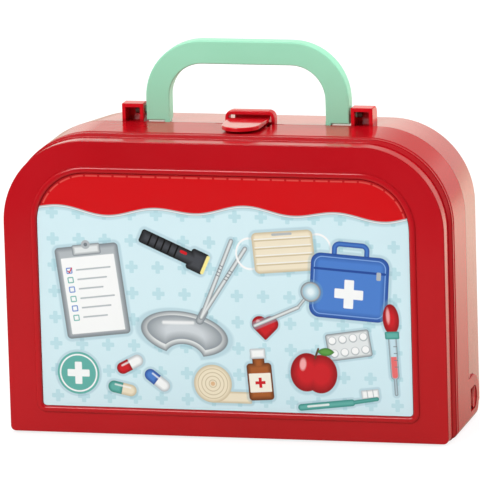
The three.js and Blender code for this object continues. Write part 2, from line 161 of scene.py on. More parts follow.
class CaseShellSettings(bpy.types.PropertyGroup):
    """Colours, gloss and edges of the two shells and the latch"""

    colour: bpy.props.FloatVectorProperty(
        name="Shell red", description="Colour of the two shells and the latch", subtype="COLOR",
        size=3, min=0.0, max=1.0, default=linear(189, 14, 27))
    shade: bpy.props.FloatVectorProperty(
        name="Shell red, deep", description="Slightly deeper red of the slow changes in the moulding",
        subtype="COLOR", size=3, min=0.0, max=1.0, default=linear(182, 10, 22))
    gloss: bpy.props.FloatProperty(
        name="Roughness", description="Roughness of the polished mould's surface", subtype="FACTOR",
        min=0.0, max=1.0, default=0.13)
    edge_round: bpy.props.FloatProperty(
        name="Edge round", description="Radius of the moulded edges", subtype="DISTANCE", unit="LENGTH",
        min=0.0, max=0.002, default=0.00045)
    ripple: bpy.props.FloatProperty(
        name="Ripple", description="Height of the faint ripple in the glossy surface", subtype="DISTANCE",
        unit="LENGTH", min=0.0, max=0.001, default=0.00003)


class CaseHandleSettings(bpy.types.PropertyGroup):
    """Colours, gloss and edges of the handle"""

    colour: bpy.props.FloatVectorProperty(
        name="Handle mint", description="Colour of the handle", subtype="COLOR",
        size=3, min=0.0, max=1.0, default=linear(160, 229, 195))
    shade: bpy.props.FloatVectorProperty(
        name="Handle mint, deep", description="Deeper mint of the slow changes in the moulding",
        subtype="COLOR", size=3, min=0.0, max=1.0, default=linear(154, 225, 190))
    gloss: bpy.props.FloatProperty(
        name="Roughness", description="Roughness of the satin surface", subtype="FACTOR",
        min=0.0, max=1.0, default=0.34)
    edge_round: bpy.props.FloatProperty(
        name="Edge round", description="Radius of the small edges", subtype="DISTANCE", unit="LENGTH",
        min=0.0, max=0.002, default=0.0004)


class CaseCardSettings(bpy.types.PropertyGroup):
    """Ground colours, band and gloss of the printed card"""

    field: bpy.props.FloatVectorProperty(
        name="Card blue", description="Light blue field of the card", subtype="COLOR",
        size=3, min=0.0, max=1.0, default=linear(212, 236, 242))
    band: bpy.props.FloatVectorProperty(
        name="Card red", description="Red band at the top of the card", subtype="COLOR",
        size=3, min=0.0, max=1.0, default=linear(210, 5, 15))
    band_height: bpy.props.FloatProperty(
        name="Band height", description="Mean height of the red band", subtype="DISTANCE", unit="LENGTH",
        min=0.0, max=0.1, default=0.0205)
    gloss: bpy.props.FloatProperty(
        name="Roughness", description="Roughness of the laminated print", subtype="FACTOR",
        min=0.0, max=1.0, default=0.15)


class CaseStageSettings(bpy.types.PropertyGroup):
    """Size of the floor and strength of the lights"""

    floor_reach: bpy.props.FloatProperty(
        name="Floor reach", description="Radius of the round floor", subtype="DISTANCE", unit="LENGTH",
        min=0.1, max=10.0, default=3.0)
    key_power: bpy.props.FloatProperty(
        name="Key light", description="Power of the soft light in front, in watts", min=0.0, max=500.0,
        default=34.5)
    side_power: bpy.props.FloatProperty(
        name="Side light", description="Power of the soft light on the right, in watts", min=0.0, max=500.0,
        default=33.0)
    top_power: bpy.props.FloatProperty(
        name="Top light", description="Power of the soft light overhead, in watts", min=0.0, max=500.0,
        default=14.0)
    back_power: bpy.props.FloatProperty(
        name="Back light", description="Power of the soft light behind, in watts", min=0.0, max=500.0,
        default=14.0)
    ambient: bpy.props.FloatProperty(
        name="Ambient", description="Strength of the even light from all round", min=0.0, max=2.0,
        default=0.5)


# Shader sums


def bare(value, number):
    """True where a value is this plain number and no wire."""
    return not isinstance(value, Wire) and value == number


class Wire:
    """A socket of a shader node that can be written in sums. Each sum adds its Math node.

    Adding nothing or multiplying by one adds no node, and a wire times nothing is the number 0.
    """

    def __init__(self, board, socket):
        self.board = board
        self.socket = socket

    def __add__(self, other):
        return self if bare(other, 0.0) else self.board.math("ADD", self, other)

    def __sub__(self, other):
        return self if bare(other, 0.0) else self.board.math("SUBTRACT", self, other)

    def __mul__(self, other):
        if bare(other, 0.0):
            return 0.0
        return self if bare(other, 1.0) else self.board.math("MULTIPLY", self, other)

    def __truediv__(self, other):
        return self.board.math("DIVIDE", self, other)

    def __neg__(self):
        return self.board.math("MULTIPLY", self, -1.0)

    def __abs__(self):
        return self.board.math("ABSOLUTE", self)

    def __rsub__(self, other):
        return self.board.math("SUBTRACT", other, self)

    def __rtruediv__(self, other):
        return self.board.math("DIVIDE", other, self)

    __radd__ = __add__
    __rmul__ = __mul__


class Board:
    """A node tree, with one method for any node and a few that are used often."""

    def __init__(self, owner, output):
        self.owner = owner
        owner.use_nodes = True
        self.tree = owner.node_tree
        self.tree.nodes.clear()
        self.output = self.tree.nodes.new(output)

    @classmethod
    def material(cls, name):
        """The empty tree of a new material."""
        return cls(bpy.data.materials.new(name), "ShaderNodeOutputMaterial")

    def connect(self, value, socket):
        """Puts a wire, number or tuple into a socket."""
        if isinstance(value, Wire):
            self.tree.links.new(value.socket, socket)
        elif isinstance(value, (tuple, list)) and socket.type == "RGBA" and len(value) == 3:
            socket.default_value = (*value, 1.0)
        else:
            socket.default_value = value

    def node(self, kind, settings=None, values=None, out=0):
        """Any node: its type, its settings, the values or wires of its sockets by name or number."""
        made = self.tree.nodes.new(kind)
        for key, value in (settings or {}).items():
            setattr(made, key, value)
        for key, value in (values or {}).items():
            self.connect(value, made.inputs[key])
        return Wire(self, made.outputs[out])

    def math(self, operation, *values):
        """A Math node on plain numbers and wires."""
        return self.node("ShaderNodeMath", {"operation": operation}, dict(enumerate(values)))

    def mix(self, factor, first, second):
        """First colour where the factor is 0, second where it is 1."""
        return self.node("ShaderNodeMix", {"data_type": "RGBA"}, {0: factor, 6: first, 7: second}, out=2)

    def mix_shaders(self, factor, first, second):
        """First shader where the factor is 0, second where it is 1."""
        return self.node("ShaderNodeMixShader", None, {0: factor, 1: first, 2: second})

    def glow(self, colour, strength, kind="ShaderNodeEmission"):
        """Light of this colour and strength, from a surface or, with its kind of node, from the world."""
        return self.node(kind, None, {"Color": colour, "Strength": strength})

    def noise(self, where, scale, detail, roughness=0.5):
        """Soft noise with this many waves to the metre."""
        return self.node("ShaderNodeTexNoise", None,
                         {"Vector": where, "Scale": scale, "Detail": detail, "Roughness": roughness})

    def ramp(self, value, low, high, to_low=0.0, to_high=1.0):
        """Value carried from one range to another and held at its ends."""
        return self.node("ShaderNodeMapRange", None, {"Value": value, "From Min": low, "From Max": high,
                                                     "To Min": to_low, "To Max": to_high})

    def place(self):
        """Object coordinates, in metres."""
        return self.node("ShaderNodeTexCoord", out=3)

    def bump(self, height, distance, normal=None):
        """Bump of a height in units of the distance, laid over another bump where one is given."""
        values = {"Height": height, "Distance": distance, "Strength": 1.0}
        if normal is not None:
            values["Normal"] = normal
        return self.node("ShaderNodeBump", None, values)

    def parts(self, where):
        """The three numbers of a vector."""
        first = self.node("ShaderNodeSeparateXYZ", None, {0: where})
        return tuple(Wire(self, socket) for socket in first.socket.node.outputs)

    def rays(self, kind):
        """One for rays of this kind, such as camera rays, and nothing for others."""
        return self.node("ShaderNodeLightPath", out=kind)

    def surface(self, shader):
        """Joins a shader to the output."""
        self.tree.links.new(shader.socket, self.output.inputs["Surface"])
        return self.owner

    def finish(self, values):
        """Principled shader with these values, joined to the output."""
        return self.surface(self.node("ShaderNodeBsdfPrincipled", None, values))


# Plastics


def scratches(board, where, scale, turn, keep):
    """Fine straight scuffs: the thin crests of a stretched noise, kept only in patches."""
    stretch = (1.0, 1.0, 0.03)
    turned = board.node("ShaderNodeMapping", None, {"Vector": where, "Rotation": turn, "Scale": stretch})
    from_crest = abs(board.noise(turned, scale, detail=1.0) - 0.5)
    crest = board.ramp(from_crest, low=0.0, high=0.006, to_low=1.0, to_high=0.0)
    bare_below = 1.0 - keep
    patch = board.ramp(board.noise(where, scale=9.0, detail=1.0), low=bare_below, high=bare_below + 0.12)
    return crest * patch


def moulded_slopes(board, where):
    """Bump for the slopes of the outer wall: the edge falls off with the square of its nearness to the
    face, and two straight rises follow with a flat between them.
    """
    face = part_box("front_shell")[0].y + BEZEL_HEIGHT * MILLI
    depth = (board.parts(where)[1] - face) / MILLI
    edge = board.ramp(depth, low=0.0, high=EDGE_END, to_low=1.0, to_high=0.0)
    first = board.ramp(depth, STRIP_END, TIER_END, 0.0, TIER_END - STRIP_END)
    second = board.ramp(depth, TIER_END + TIER_FLAT, BAND_END, 0.0, BAND_END - TIER_END - TIER_FLAT)
    height = (first + second) * BAND_SLOPE - edge * edge * (EDGE_END / 2)
    return board.bump(height, MILLI)


def dished_stubs(board, where):
    """Bump for the ends of the two hinge stubs: a dish that rises with the square of the distance to the
    hinge's axis, and only near the case's two sides.
    """
    across, depth, up = board.parts(where)
    depth, up = depth / MILLI - STUB_PLACE[0], up / MILLI - STUB_PLACE[1]
    share = board.math("SQRT", depth * depth + up * up) / STUB_RADIUS
    outside = board.math("GREATER_THAN", abs(across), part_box("rear_shell")[1].x - STUB_INSET * MILLI)
    dish = board.math("MINIMUM", share * share, 1.0) * outside
    return board.bump(dish * STUB_DISH, MILLI)


def shell_plastic(settings, name, relief=None, coat=0.0):
    """Glossy moulded plastic: slow changes of red, a faint ripple, and light scuffs in the gloss.

    The thin mouldings above the roof are given a brighter red, which is painted light.
    """
    board = Board.material(name)
    where = board.place()
    cloud = board.ramp(board.noise(where, scale=11.0, detail=3.0), low=0.38, high=0.66)
    colour = board.mix(cloud, tuple(settings.colour), tuple(settings.shade))
    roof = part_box("front_shell")[1].z
    # Painted light: a brighter red from just above the front shell's roof upwards
    painted_light = board.ramp(board.parts(where)[2], roof + PAINTED_LIGHT_RISE[0] * MILLI, roof + PAINTED_LIGHT_RISE[1] * MILLI)
    colour = board.mix(painted_light, colour, PAINTED_LIGHT_RED)
    scuffs = scratches(board, where, scale=260.0, turn=(0.4, 0.9, 0.2), keep=0.42)
    smear = board.ramp(board.noise(where, scale=34.0, detail=4.0, roughness=0.6), low=0.42, high=0.75)
    roughness = settings.gloss + smear * 0.045 + scuffs * 0.16
    ripple = board.noise(where, scale=150.0, detail=1.0)
    grain = board.noise(where, scale=2600.0, detail=2.0)
    height = ripple + grain * 0.035 - scuffs * 0.05
    normal = board.bump(height, settings.ripple, relief(board, where) if relief else None)
    return board.finish({"Base Color": colour, "Roughness": roughness, "Normal": normal,
                         "IOR": PLASTIC_IOR, "Coat Weight": coat})


def handle_plastic(settings):
    """Satin moulded plastic: a fine even grain, slow changes of mint, a few scuffs, and pin ends darkened
    by painted shade.
    """
    board = Board.material("handle_mint_satin")
    where = board.place()
    cloud = board.ramp(board.noise(where, scale=16.0, detail=3.0), low=0.36, high=0.68)
    colour = board.mix(cloud, tuple(settings.colour), tuple(settings.shade))
    low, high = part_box("handle")
    reach = abs(board.parts(where)[0] - (low.x + high.x) / 2)
    half = (high.x - low.x) / 2
    # Painted shade: the pin ends inside the brackets turn dark
    pin_shade = board.ramp(reach, half - PIN_SHADE_INSET[0] * MILLI, half - PIN_SHADE_INSET[1] * MILLI)
    colour = board.mix(pin_shade, colour, PIN_SHADE)
    scuffs = scratches(board, where, scale=300.0, turn=(0.2, 1.3, 0.5), keep=0.45)
    smear = board.ramp(board.noise(where, scale=40.0, detail=3.0, roughness=0.6), low=0.4, high=0.8)
    roughness = settings.gloss + smear * 0.07 + scuffs * 0.1
    grain = board.noise(where, scale=1900.0, detail=3.0, roughness=0.6)
    ripple = board.noise(where, scale=120.0, detail=1.0)
    normal = board.bump(grain * 0.35 + ripple - scuffs * 0.2, distance=0.00002)
    return board.finish({"Base Color": colour, "Roughness": roughness, "Normal": normal,
                         "IOR": PLASTIC_IOR})


def dress(node, material, edge_round):
    """A CAD node keeps its mesh: its edges are rounded and its shading smoothed by modifiers alone."""
    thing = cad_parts[node]
    mesh = thing.data
    mesh.polygons.foreach_set("use_smooth", np.ones(len(mesh.polygons), bool))
    mesh.materials.clear()
    mesh.materials.append(material)
    weld = thing.modifiers.new("weld", "WELD")
    weld.merge_threshold = WELD_DISTANCE
    planar = thing.modifiers.new("planar", "DECIMATE")
    planar.decimate_type = "DISSOLVE"
    planar.angle_limit = FLAT_ANGLE
    if edge_round > 0.0:
        bevel = thing.modifiers.new("edges", "BEVEL")
        bevel.width = edge_round
        bevel.segments = EDGE_SEGMENTS
        bevel.limit_method = "ANGLE"
        bevel.angle_limit = EDGE_ANGLE
        bevel.harden_normals = False
        bevel.use_clamp_overlap = True
    weighted = thing.modifiers.new("normals", "WEIGHTED_NORMAL")
    weighted.mode = "FACE_AREA"
    weighted.weight = NORMAL_WEIGHT
    weighted.keep_sharp = True


# Shapes of the print, as signed distances in millimetres


class Print:
    """The card's print while it is built up: the place on the card, and the colour so far.

    A point is a pair of wires, across and up in millimetres, so that every shape is a sum of Math nodes.
    A shape is the distance to its edge, less than nothing inside. Soft is the width over which an edge
    fades, in millimetres.
    """

    soft = 0.32

    def __init__(self, board, across, up, ground):
        self.board = board
        self.point = (across, up)
        self.ink = ground

    def length(self, across, up):
        """Length of a step across and up."""
        return self.board.math("SQRT", self.board.math("MULTIPLY_ADD", across, across, up * up))

    def at(self, u, v, degrees=0.0):
        """The point seen from a motif's own middle and turned with it."""
        across, up = self.point[0] - u, self.point[1] - v
        if not degrees:
            return across, up
        cosine, sine = math.cos(math.radians(degrees)), math.sin(math.radians(degrees))
        return across * cosine + up * sine, up * cosine - across * sine

    def circle(self, point, u, v, radius):
        """Distance to the middle, less the radius."""
        return self.length(point[0] - u, point[1] - v) - radius

    def oval(self, point, u, v, wide, high):
        """Distance to a circle in stretched coordinates, scaled back by the smaller half width."""
        return (self.length((point[0] - u) / wide, (point[1] - v) / high) - 1.0) * min(wide, high)

    def bar(self, point, start, end, radius):
        """Distance to a straight stretch with round ends."""
        along = (end[0] - start[0], end[1] - start[1])
        square = along[0] ** 2 + along[1] ** 2
        across, up = point[0] - start[0], point[1] - start[1]
        share = across * (along[0] / square) + up * (along[1] / square)
        share = self.board.math("MINIMUM", self.board.math("MAXIMUM", share, 0.0), 1.0)
        return self.length(across - share * along[0], up - share * along[1]) - radius

    def tile(self, point, u, v, wide, high, corner):
        """Distance to a rectangle of these half widths, its corners round."""
        board = self.board
        across = abs(point[0] - u) - (wide - corner)
        up = abs(point[1] - v) - (high - corner)
        outside = self.length(board.math("MAXIMUM", across, 0.0), board.math("MAXIMUM", up, 0.0))
        inside = board.math("MINIMUM", board.math("MAXIMUM", across, up), 0.0)
        return outside + inside - corner

    def cross(self, point, u, v, reach, half_width, corner):
        """Two bars of these half sizes across each other."""
        return self.both(self.tile(point, u, v, reach, half_width, corner),
                         self.tile(point, u, v, half_width, reach, corner))

    def both(self, first, *others):
        """Union: the nearer shape."""
        for other in others:
            first = self.board.math("MINIMUM", first, other)
        return first

    def where(self, first, *others):
        """What all of the shapes share."""
        for other in others:
            first = self.board.math("MAXIMUM", first, other)
        return first

    def less(self, first, other):
        """The first shape less the other."""
        return self.board.math("MAXIMUM", first, -other)

    def line(self, shape, half_width):
        """A line of this half width along a shape's edge."""
        return abs(shape) - half_width

    def side(self, point, u, v, level):
        """Half plane: what lies ahead of the level in the direction u, v is outside."""
        return point[0] * u + point[1] * v - level

    def lay(self, shape, colour, strength=1.0, softness=None):
        """Prints a flat colour where the shape is. The Mix node holds its factor between 0 and 1."""
        cover = self.board.math("MULTIPLY_ADD", shape, -1.0 / (softness or self.soft), 0.5)
        if strength != 1.0:
            cover = self.board.math("MINIMUM", cover, strength)
        self.ink = self.board.mix(cover, self.ink, colour)

    def model(self, shape, edge, colour, depth):
        """Prints a shape that is darker at its edge and clear in its middle, as a photographed thing is."""
        inner = shape * (-1.0 / depth)
        self.lay(shape, self.board.mix(inner, edge, colour))

    def shadow(self, shape, spread=3.0, strength=0.34):
        """Prints the soft shadow that a thing casts on the card."""
        self.lay(shape - spread * 0.25, FIELD_SHADOW, strength, spread)


# Backdrop and motifs. A motif starts with its middle on the card and its turn, and is drawn round it.


def print_backdrop(card):
    """Pale crosses in rows and columns behind the motifs."""
    pitch = 15.5
    cell = tuple(card.board.math("PINGPONG", place, pitch) - pitch / 2 for place in card.point)
    card.lay(card.cross(cell, 0.0, 0.0, 3.6, 1.25, 0.5), FIELD_CROSS, 0.7)


def print_clipboard(card):
    """Grey board with a white sheet, ruled lines, a tick column and a clip."""
    p = card.at(-78.0, 86.0, 7.0)
    board_shape = card.tile(p, 0.0, 0.0, 19.0, 27.0, 2.5)
    card.shadow(board_shape)
    card.model(board_shape, STEEL, SILVER, 3.0)
    card.lay(card.tile(p, 0.0, -2.0, 16.0, 22.5, 0.6), WHITE)
    for row in range(6):
        level = 13.0 - row * 5.6
        card.lay(card.bar(p, (-7.5, level), (12.5 - (row % 3) * 3.0, level), 0.45), SILVER)
        card.lay(card.line(card.tile(p, -12.0, level, 1.5, 1.5, 0.3), 0.3), TEAL if row % 2 else BLUE)
    card.lay(card.bar(p, (-12.9, 12.8), (-12.0, 12.0), 0.35), RED)
    card.lay(card.bar(p, (-12.0, 12.0), (-10.4, 14.4), 0.35), RED)
    card.model(card.tile(p, 0.0, 24.5, 8.5, 3.2, 1.2), STEEL, PALE, 2.0)
    card.lay(card.circle(p, 0.0, 27.4, 2.6), SILVER)
    card.lay(card.circle(p, 0.0, 27.4, 1.1), STEEL)


def print_torch(card):
    """Small black torch with a ribbed grip and a bright lens."""
    p = card.at(-31.0, 112.0, -24.0)
    body = card.both(card.tile(p, 0.0, 0.0, 19.0, 4.2, 1.6), card.tile(p, 17.5, 0.0, 5.5, 6.4, 1.8))
    card.shadow(body)
    card.model(body, BLACK, GRAPHITE, 3.4)
    for rib in range(5):
        place = -13.0 + rib * 4.2
        card.lay(card.bar(p, (place, -3.6), (place, 3.6), 0.5), BLACK)
    card.lay(card.tile(p, 22.4, 0.0, 1.0, 5.8, 0.8), LAMP_YELLOW)
    card.lay(card.tile(p, 8.0, 1.4, 2.2, 0.9, 0.8), RED)


def print_dish(card):
    """Kidney-shaped steel dish: an oval with a bay cut from its lower side."""
    p = card.at(-24.0, 62.0, -9.0)
    outer = card.less(card.oval(p, 0.0, 0.0, 26.0, 13.0), card.oval(p, 2.0, -15.5, 12.0, 9.5))
    card.shadow(outer)
    card.model(outer, STEEL, PALE, 2.6)
    inner = card.less(card.oval(p, 0.0, 0.6, 22.5, 9.8), card.oval(p, 2.0, -15.5, 15.0, 12.5))
    card.model(inner, DISH_EDGE, DISH_FLOOR, 5.0)
    card.lay(card.bar(p, (-13.0, 4.5), (4.0, 7.4), 0.8), WHITE, 0.8, 1.4)


def print_tweezers(card):
    """Steel tweezers: two long arms that meet at the head."""
    p = card.at(-2.0, 94.0, 62.0)
    arms = card.both(*(card.bar(p, (-25.0, 0.0), (24.0, side * 4.6), 1.35) for side in (1, -1)))
    card.shadow(arms, 2.4)
    card.model(card.bar(p, (-27.0, 0.0), (-21.0, 0.0), 2.4), STEEL, SILVER, 1.6)
    card.model(arms, STEEL, PALE, 1.2)
    for side in (-1, 1):
        for rib in range(4):
            place = 2.0 + rib * 2.0
            level = side * (2.5 + place * 0.094)
            card.lay(card.bar(p, (place, level - 0.9), (place, level + 0.9), 0.25), STEEL)


def print_mask(card):
    """Cream cloth mask with pleats and two ear loops."""
    p = card.at(36.0, 112.0, 5.0)
    cloth = card.tile(p, 0.0, 0.0, 18.0, 12.0, 3.0)
    loops = card.both(*(card.line(card.oval(p, side * 20.0, 0.0, 8.0, 9.0), 0.55) for side in (-1, 1)))
    card.lay(loops, WHITE)
    card.shadow(cloth)
    card.model(cloth, DEEP_CREAM, CREAM, 2.2)
    for pleat in range(4):
        level = -7.2 + pleat * 4.8
        card.lay(card.bar(p, (-16.5, level), (16.5, level), 0.35), DEEP_CREAM)
        card.lay(card.bar(p, (-16.5, level + 0.9), (16.5, level + 0.9), 0.3), WHITE, 0.7)
    card.lay(card.tile(p, 0.0, 10.3, 6.0, 0.7, 0.6), SILVER)


def print_pouch(card):
    """Blue first-aid pouch with a white cross, a zip and a carrying loop."""
    p = card.at(74.0, 92.0, -4.0)
    loop = card.line(card.tile(p, 0.0, 19.0, 9.5, 6.0, 3.0), 1.5)
    bag = card.tile(p, 0.0, 0.0, 23.0, 19.0, 6.0)
    card.shadow(card.both(bag, loop))
    card.model(loop, DEEP_BLUE, BLUE, 1.6)
    card.model(bag, DEEP_BLUE, BLUE, 5.0)
    card.lay(card.line(card.tile(p, 0.0, 0.0, 20.8, 16.8, 4.6), 0.28), STITCH_BLUE)
    card.lay(card.bar(p, (-20.5, 9.6), (20.5, 9.6), 0.7), DEEP_BLUE)
    card.lay(card.tile(p, 17.0, 8.0, 1.3, 2.4, 0.8), SILVER)
    card.lay(card.cross(p, 0.0, -4.0, 8.4, 2.8, 0.6), WHITE)


def print_capsules(card):
    """Three two-coloured capsules, each turned its own way."""
    for u, v, turn, first, first_edge, second, second_edge in (
            (-57.0, 43.0, 28.0, RED, DEEP_RED, WHITE, SILVER),
            (-41.0, 34.0, -38.0, BLUE, DEEP_BLUE, WHITE, SILVER),
            (-62.0, 28.5, -12.0, TEAL, DEEP_TEAL, CREAM, DEEP_CREAM)):
        p = card.at(u, v, turn)
        whole = card.bar(p, (-5.0, 0.0), (5.0, 0.0), 3.5)
        card.shadow(whole, 2.4)
        card.model(whole, second_edge, second, 2.0)
        card.model(card.where(whole, card.side(p, 1.0, 0.0, 0.0)), first_edge, first, 2.0)
        card.lay(card.bar(p, (-4.5, 1.5), (4.5, 1.5), 0.4), WHITE, 0.7, 0.8)


def print_badge(card):
    """Round teal badge with a white cross."""
    p = card.at(-88.0, 37.0)
    disc = card.circle(p, 0.0, 0.0, 12.5)
    card.shadow(disc, 2.4)
    card.lay(disc, TEAL)
    card.lay(card.line(card.circle(p, 0.0, 0.0, 10.8), 0.45), WHITE)
    card.lay(card.cross(p, 0.0, 0.0, 6.6, 2.1, 0.6), WHITE)


def print_gauze(card):
    """Roll of cream gauze seen from its end, with its free stretch."""
    p = card.at(-8.0, 33.0)
    free = card.tile(p, 11.0, -7.8, 12.0, 3.4, 0.8)
    roll = card.circle(p, 0.0, 0.0, 11.2)
    card.shadow(card.both(free, roll), 2.6)
    card.model(free, DEEP_CREAM, CREAM, 1.6)
    card.model(roll, DEEP_CREAM, CREAM, 2.0)
    for turn in range(4):
        card.lay(card.line(card.circle(p, 0.0, 0.0, 2.2 + turn * 2.2), 0.25), DEEP_CREAM)
    card.lay(card.circle(p, 0.0, 0.0, 1.3), TAN)


def print_apple(card):
    """Red apple with a stalk and a leaf."""
    p = card.at(52.0, 41.0, -6.0)
    flesh = card.both(card.oval(p, -4.2, 0.0, 9.6, 11.4), card.oval(p, 4.2, 0.0, 9.6, 11.4))
    card.shadow(flesh)
    card.model(flesh, DEEP_RED, RED, 5.0)
    card.lay(card.oval(p, -6.8, 4.4, 1.7, 3.2), PINK_SHINE, 0.75, 1.2)
    card.lay(card.bar(p, (0.0, 9.0), (1.4, 14.6), 0.6), BARK)
    leaf = card.where(card.circle(p, 6.4, 9.4, 6.4), card.circle(p, 5.6, 17.4, 6.4))
    card.model(leaf, DEEP_GREEN, GREEN, 1.6)


def print_heart(card):
    """Red heart: a turned square with a round on two of its sides."""
    p = card.at(24.0, 66.0, 45.0)
    half = 4.6
    heart = card.both(card.tile(p, 0.0, 0.0, half, half, 0.8), card.circle(p, 0.0, half, half),
                      card.circle(p, half, 0.0, half))
    card.shadow(heart, 2.0)
    card.model(heart, DEEP_RED, RED, 2.6)
    card.lay(card.circle(p, 0.2, 6.0, 1.1), HEART_SHINE, 0.8, 1.0)


def print_dropper(card):
    """Glass dropper with a red bulb and a teal collar, standing upright."""
    p = card.at(99.0, 55.0, 3.0)
    foot, neck = (0.0, -14.0), (0.0, 8.0)
    tube = card.both(card.bar(p, foot, neck, 2.5), card.bar(p, (0.0, -25.0), foot, 1.0))
    bulb = card.oval(p, 0.0, 19.0, 4.8, 9.0)
    card.shadow(card.both(tube, bulb), 2.4)
    card.model(tube, STEEL, GLASS, 1.3)
    filling = card.where(card.bar(p, foot, neck, 1.7), card.side(p, 0.0, 1.0, -3.0))
    card.lay(filling, CORDIAL)
    for mark in range(4):
        card.lay(card.bar(p, (0.4, -9.0 + mark * 4.0), (2.2, -9.0 + mark * 4.0), 0.22), STEEL)
    card.model(bulb, DEEP_RED, RED, 3.2)
    card.lay(card.oval(p, -1.6, 21.0, 0.9, 3.6), PINK_SHINE, 0.7, 1.0)
    card.model(card.tile(p, 0.0, 9.6, 4.2, 2.2, 0.8), DEEP_TEAL, TEAL, 1.4)


def print_mirror(card):
    """Dentist's mirror: a round glass on a long bent handle."""
    p = card.at(38.0, 77.0, 24.0)
    stem = card.both(card.bar(p, (-22.0, 0.0), (6.0, 0.0), 1.2), card.bar(p, (6.0, 0.0), (12.0, 3.0), 0.9))
    rim = card.circle(p, 17.0, 5.4, 6.0)
    card.shadow(card.both(stem, rim), 2.2)
    card.model(stem, STEEL, PALE, 1.0)
    card.model(rim, STEEL, SILVER, 1.2)
    card.model(card.circle(p, 17.0, 5.4, 4.7), MIRROR_EDGE, MIRROR, 3.4)


def print_brush(card):
    """Toothbrush: teal handle, white bristles in three tufts."""
    p = card.at(68.0, 23.5, 7.0)
    stem = card.both(card.bar(p, (-24.0, 0.0), (6.0, 0.0), 2.0), card.bar(p, (6.0, 0.0), (21.0, 0.8), 1.2))
    tufts = card.tile(p, 17.5, 4.0, 5.2, 2.6, 0.5)
    card.shadow(card.both(stem, tufts), 2.2)
    card.model(tufts, SILVER, WHITE, 1.2)
    for gap in range(2):
        card.lay(card.bar(p, (15.8 + gap * 3.4, 2.0), (15.8 + gap * 3.4, 6.4), 0.25), SILVER)
    card.model(stem, DEEP_TEAL, TEAL, 1.6)
    card.lay(card.bar(p, (-20.0, 0.2), (-8.0, 0.2), 0.6), WHITE, 0.8)


def print_blister(card):
    """Silver blister strip with two rows of white tablets."""
    p = card.at(73.0, 58.0, 9.0)
    strip = card.tile(p, 0.0, 0.0, 13.0, 8.0, 1.6)
    card.shadow(strip, 2.2)
    card.model(strip, STEEL, PALE, 1.8)
    for column in range(4):
        for level in (-3.8, 3.8):
            place = -9.3 + column * 6.2
            card.lay(card.circle(p, place, level, 2.5), SILVER)
            card.lay(card.circle(p, place, level + 0.2, 2.0), WHITE)


def print_bottle(card):
    """Small brown syrup bottle with a white cap and a cross on its pale label."""
    p = card.at(20.0, 38.0, 4.0)
    glass = card.both(card.tile(p, 0.0, -3.0, 7.4, 11.0, 2.2), card.tile(p, 0.0, 8.0, 3.6, 4.0, 1.0))
    card.shadow(glass, 2.6)
    card.model(glass, DEEP_BROWN_GLASS, BROWN_GLASS, 2.8)
    card.model(card.tile(p, 0.0, 13.6, 4.6, 3.0, 0.8), SILVER, WHITE, 1.6)
    card.lay(card.tile(p, 0.0, -3.6, 6.4, 5.6, 0.5), PAPER)
    card.lay(card.cross(p, 0.0, -3.6, 3.0, 0.9, 0.2), RED)


MOTIFS = (
    print_clipboard, print_torch, print_dish, print_tweezers, print_mask, print_pouch, print_capsules,
    print_badge, print_gauze, print_bottle, print_blister, print_apple, print_heart, print_mirror,
    print_dropper, print_brush)

# Edge of the card, in millimetres: its corner radius, the inset and half width of the dark line of painted
# shade and of the dashes, the length of a dash with its gap, and half a dash as a share of that length
CARD_CORNER = 29.5
SHADE_LINE = (0.7, 0.9)
DASH_LINE = (1.4, 0.45)
DASH_PITCH = 8.5
DASH_HALF = 0.42

# The band's wave: for each of its two sines the angle for each millimetre across, the angle in the middle
# and the height, and how far its shadow, its silver rim and the light line in that rim reach below the red
WAVES = ((0.115, 0.0, 2.1), (0.041, 1.0, 1.6))
SHADOW_REACH = 2.2
SILVER_REACH = 1.5
LIGHT_LINE = (0.9, 0.22)


def card_edge(card, high, band):
    """Edge of the red band: a dark line of painted shade by the bezel, then pale dashes that follow the
    card's rounded corners.
    """
    board = card.board
    half, top, corner = high.x / MILLI, high.z / MILLI, CARD_CORNER
    across, up = abs(card.point[0]), card.point[1]
    past, over = board.math("MAXIMUM", across - (half - corner), 0.0), up - (top - corner)
    inset = corner - card.length(past, board.math("MAXIMUM", over, 0.0))
    along = board.math("MINIMUM", across, half - corner) + corner * board.math("ARCTAN2", past, over)
    dash = board.math("PINGPONG", along, DASH_PITCH / 2) - DASH_PITCH * DASH_HALF
    # Painted shade: a darker red line along the card's edge by the bezel
    card.lay(card.where(card.line(inset - SHADE_LINE[0], SHADE_LINE[1]), band), BEZEL_SHADE_RED)
    card.lay(card.where(card.line(inset - DASH_LINE[0], DASH_LINE[1]), dash, band), DASH_RED)


def card_print(settings):
    """Laminated print: light blue field with motifs, red band above a silver wave, dashes at its edge.

    The wave is the sum of two sines of the place across the card.
    """
    board = Board.material("card_print")
    where = board.place()
    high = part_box("label_card")[1]
    across, _, up = board.parts(where)
    u, v = across / MILLI, up / MILLI
    tint = board.noise(where, scale=7.0, detail=1.0) * 1.4 - 0.5
    ground = board.mix(tint, tuple(settings.field), FIELD_CLOUD)
    card = Print(board, u, v, ground)
    print_backdrop(card)
    for motif in MOTIFS:
        motif(card)
    top = high.z / MILLI
    edge = top - settings.band_height / MILLI
    wave = sum(board.math("SINE", u * rate + start) * height for rate, start, height in WAVES)
    band = (edge + wave) - v
    card.lay(band - SHADOW_REACH, WAVE_SHADOW, strength=0.4, softness=2.4)
    card.lay(band - SILVER_REACH, SILVER)
    card.lay(card.line(band - LIGHT_LINE[0], LIGHT_LINE[1]), WHITE)
    card.lay(band, tuple(settings.band))
    card_edge(card, high, band)
    roughness = settings.gloss + board.noise(where, scale=60.0, detail=3.0) * 0.08
    film = board.noise(where, scale=900.0, detail=2.0) * 0.5 + board.noise(where, scale=90.0, detail=1.0)
    return board.finish({"Base Color": card.ink, "Roughness": roughness,
                         "Normal": board.bump(film, distance=0.00002), "IOR": FILM_IOR})


# Pieces


